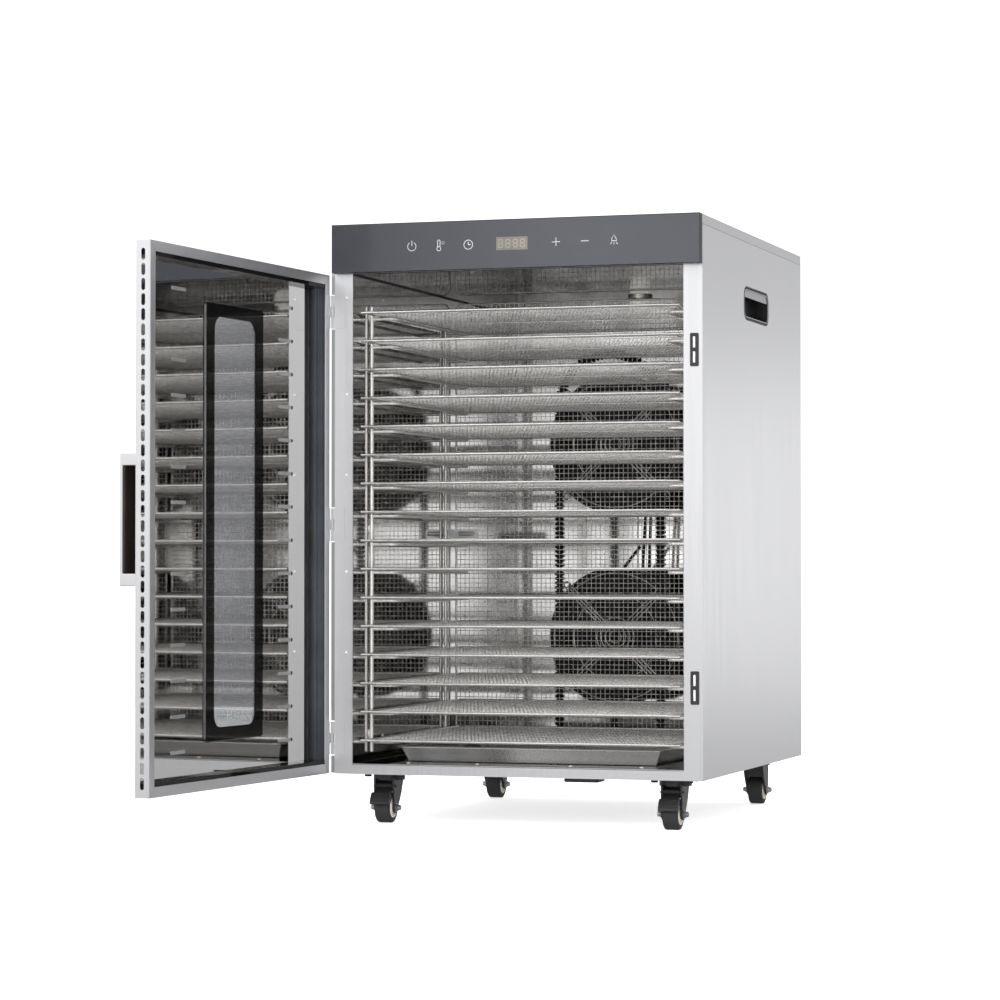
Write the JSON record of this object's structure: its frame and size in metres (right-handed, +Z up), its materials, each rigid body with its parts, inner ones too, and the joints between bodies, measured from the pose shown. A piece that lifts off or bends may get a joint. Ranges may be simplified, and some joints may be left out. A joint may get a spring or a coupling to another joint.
{
  "type": "food dehydrator",
  "caption": "Upright cabinet food dehydrator on castors: side-hinged glazed door, stacked mesh trays on wire racks, rear fans and heater, touch fascia on top.",
  "frame": {"origin": "on the floor under the middle of the object's box, with the door at its rest angle of 94.33 degrees open", "axes": "+X to the right seen from the front, +Y to the rear, +Z up"},
  "size_m": [0.5506, 1.0214, 0.743],
  "materials": {
    "satin_steel": "satin stainless sheet, fine vertical grain",
    "mirror_steel": "polished stainless sheet, slightly wavy",
    "wire_steel": "bright drawn stainless wire",
    "zinc_plate": "zinc plated, semi-bright",
    "fascia_panel": "back-printed dark grey panel, glossy",
    "circuit_board": "green laminate",
    "clear_glass": "clear tempered glass",
    "lamp_glass": "frosted glass",
    "black_plastic": "moulded, fine grain",
    "black_metal": "black satin coating",
    "tyre_rubber": "black tread with a cream hub ring"
  },
  "bodies": {
    "root": {"base_pan": "satin_steel", "left_side_panel": "satin_steel", "right_side_panel": "satin_steel", "top_cover": "satin_steel", "back_panel": "satin_steel", "front_frame": "satin_steel", "chamber_liner": "mirror_steel", "control_fascia": "fascia_panel", "control_board": "circuit_board", "power_inlet": "black_plastic", "side_handle_left": "black_plastic", "side_handle_right": "black_plastic", "magnet_catch_upper": "black_plastic", "magnet_catch_lower": "black_plastic", "rack_left": "wire_steel", "rack_right": "wire_steel", "rear_guard": "wire_steel", "fan_motor_upper": "black_metal", "fan_motor_lower": "black_metal", "heater": "black_metal", "temp_sensor": "zinc_plate", "chamber_lamp": "lamp_glass"},
    "door": {"door_frame": "satin_steel", "door_inner_panel": "mirror_steel", "window_glass": "clear_glass", "window_gasket": "black_plastic", "door_handle": "satin_steel", "door_handle_grip": "black_plastic", "hinge_leaf_top": "satin_steel", "hinge_leaf_middle": "satin_steel", "hinge_leaf_bottom": "satin_steel"},
    "tray_01": {"tray_01": "wire_steel"},
    "tray_02": {"tray_02": "wire_steel"},
    "tray_03": {"tray_03": "wire_steel"},
    "tray_04": {"tray_04": "wire_steel"},
    "tray_05": {"tray_05": "wire_steel"},
    "tray_06": {"tray_06": "wire_steel"},
    "tray_07": {"tray_07": "wire_steel"},
    "tray_08": {"tray_08": "wire_steel"},
    "tray_09": {"tray_09": "wire_steel"},
    "tray_10": {"tray_10": "wire_steel"},
    "tray_11": {"tray_11": "wire_steel"},
    "tray_12": {"tray_12": "wire_steel"},
    "tray_13": {"tray_13": "wire_steel"},
    "tray_14": {"tray_14": "wire_steel"},
    "tray_15": {"tray_15": "wire_steel"},
    "tray_16": {"tray_16": "wire_steel"},
    "drip_tray": {"drip_tray": "mirror_steel"},
    "castor_fork_front_left": {"castor_fork_front_left": "black_metal"},
    "castor_wheel_front_left": {"castor_wheel_front_left": "tyre_rubber"},
    "castor_fork_front_right": {"castor_fork_front_right": "black_metal"},
    "castor_wheel_front_right": {"castor_wheel_front_right": "tyre_rubber"},
    "castor_fork_rear_left": {"castor_fork_rear_left": "black_metal"},
    "castor_wheel_rear_left": {"castor_wheel_rear_left": "tyre_rubber"},
    "castor_fork_rear_right": {"castor_fork_rear_right": "black_metal"},
    "castor_wheel_rear_right": {"castor_wheel_rear_right": "tyre_rubber"},
    "brake_pedal_left": {"brake_pedal_left": "black_plastic"},
    "brake_pedal_right": {"brake_pedal_right": "black_plastic"},
    "fan_rotor_upper": {"fan_rotor_upper": "black_metal"},
    "fan_rotor_lower": {"fan_rotor_lower": "black_metal"}
  },
  "joints": [
    {"name": "door_swing", "type": "hinge", "parent": "root", "child": "door", "pos_m": [-0.19772, -0.04226, 0.3715], "axis": [0, 0, -1], "range_deg": [-94.33, 85.67]},
    {"name": "tray_01_slide", "type": "slide", "parent": "root", "child": "tray_01", "axis": [0, -1, 0], "range_m": [0, 0.42]},
    {"name": "tray_02_slide", "type": "slide", "parent": "root", "child": "tray_02", "axis": [0, -1, 0], "range_m": [0, 0.42]},
    {"name": "tray_03_slide", "type": "slide", "parent": "root", "child": "tray_03", "axis": [0, -1, 0], "range_m": [0, 0.42]},
    {"name": "tray_04_slide", "type": "slide", "parent": "root", "child": "tray_04", "axis": [0, -1, 0], "range_m": [0, 0.42]},
    {"name": "tray_05_slide", "type": "slide", "parent": "root", "child": "tray_05", "axis": [0, -1, 0], "range_m": [0, 0.42]},
    {"name": "tray_06_slide", "type": "slide", "parent": "root", "child": "tray_06", "axis": [0, -1, 0], "range_m": [0, 0.42]},
    {"name": "tray_07_slide", "type": "slide", "parent": "root", "child": "tray_07", "axis": [0, -1, 0], "range_m": [0, 0.42]},
    {"name": "tray_08_slide", "type": "slide", "parent": "root", "child": "tray_08", "axis": [0, -1, 0], "range_m": [0, 0.42]},
    {"name": "tray_09_slide", "type": "slide", "parent": "root", "child": "tray_09", "axis": [0, -1, 0], "range_m": [0, 0.42]},
    {"name": "tray_10_slide", "type": "slide", "parent": "root", "child": "tray_10", "axis": [0, -1, 0], "range_m": [0, 0.42]},
    {"name": "tray_11_slide", "type": "slide", "parent": "root", "child": "tray_11", "axis": [0, -1, 0], "range_m": [0, 0.42]},
    {"name": "tray_12_slide", "type": "slide", "parent": "root", "child": "tray_12", "axis": [0, -1, 0], "range_m": [0, 0.42]},
    {"name": "tray_13_slide", "type": "slide", "parent": "root", "child": "tray_13", "axis": [0, -1, 0], "range_m": [0, 0.42]},
    {"name": "tray_14_slide", "type": "slide", "parent": "root", "child": "tray_14", "axis": [0, -1, 0], "range_m": [0, 0.42]},
    {"name": "tray_15_slide", "type": "slide", "parent": "root", "child": "tray_15", "axis": [0, -1, 0], "range_m": [0, 0.42]},
    {"name": "tray_16_slide", "type": "slide", "parent": "root", "child": "tray_16", "axis": [0, -1, 0], "range_m": [0, 0.42]},
    {"name": "drip_tray_slide", "type": "slide", "parent": "root", "child": "drip_tray", "axis": [0, -1, 0], "range_m": [0, 0.42]},
    {"name": "castor_swivel_front_left", "type": "hinge", "parent": "root", "child": "castor_fork_front_left", "pos_m": [-0.14472, 0.01923, 0.057], "axis": [0, 0, 1], "continuous": true},
    {"name": "castor_roll_front_left", "type": "hinge", "parent": "castor_fork_front_left", "child": "castor_wheel_front_left", "pos_m": [-0.14472, 0.00724, 0.019], "axis": [1, 0, 0], "continuous": true},
    {"name": "brake_pedal_tilt_left", "type": "hinge", "parent": "castor_fork_front_left", "child": "brake_pedal_left", "pos_m": [-0.14472, 0.00324, 0.046], "axis": [-1, 0, 0], "range_deg": [0, 15]},
    {"name": "castor_swivel_front_right", "type": "hinge", "parent": "root", "child": "castor_fork_front_right", "pos_m": [0.22528, 0.01923, 0.057], "axis": [0, 0, 1], "continuous": true},
    {"name": "castor_roll_front_right", "type": "hinge", "parent": "castor_fork_front_right", "child": "castor_wheel_front_right", "pos_m": [0.22528, 0.00724, 0.019], "axis": [1, 0, 0], "continuous": true},
    {"name": "brake_pedal_tilt_right", "type": "hinge", "parent": "castor_fork_front_right", "child": "brake_pedal_right", "pos_m": [0.22528, 0.00324, 0.046], "axis": [-1, 0, 0], "range_deg": [0, 15]},
    {"name": "castor_swivel_rear_left", "type": "hinge", "parent": "root", "child": "castor_fork_rear_left", "pos_m": [-0.14472, 0.44623, 0.057], "axis": [0, 0, 1], "continuous": true},
    {"name": "castor_roll_rear_left", "type": "hinge", "parent": "castor_fork_rear_left", "child": "castor_wheel_rear_left", "pos_m": [-0.14472, 0.45824, 0.019], "axis": [1, 0, 0], "continuous": true},
    {"name": "castor_swivel_rear_right", "type": "hinge", "parent": "root", "child": "castor_fork_rear_right", "pos_m": [0.22528, 0.44623, 0.057], "axis": [0, 0, 1], "continuous": true},
    {"name": "castor_roll_rear_right", "type": "hinge", "parent": "castor_fork_rear_right", "child": "castor_wheel_rear_right", "pos_m": [0.22528, 0.45824, 0.019], "axis": [1, 0, 0], "continuous": true},
    {"name": "fan_spin_upper", "type": "hinge", "parent": "root", "child": "fan_rotor_upper", "pos_m": [0.04828, 0.39924, 0.485], "axis": [0, 1, 0], "continuous": true},
    {"name": "fan_spin_lower", "type": "hinge", "parent": "root", "child": "fan_rotor_lower", "pos_m": [0.04828, 0.39924, 0.225], "axis": [0, 1, 0], "continuous": true}
  ]
}
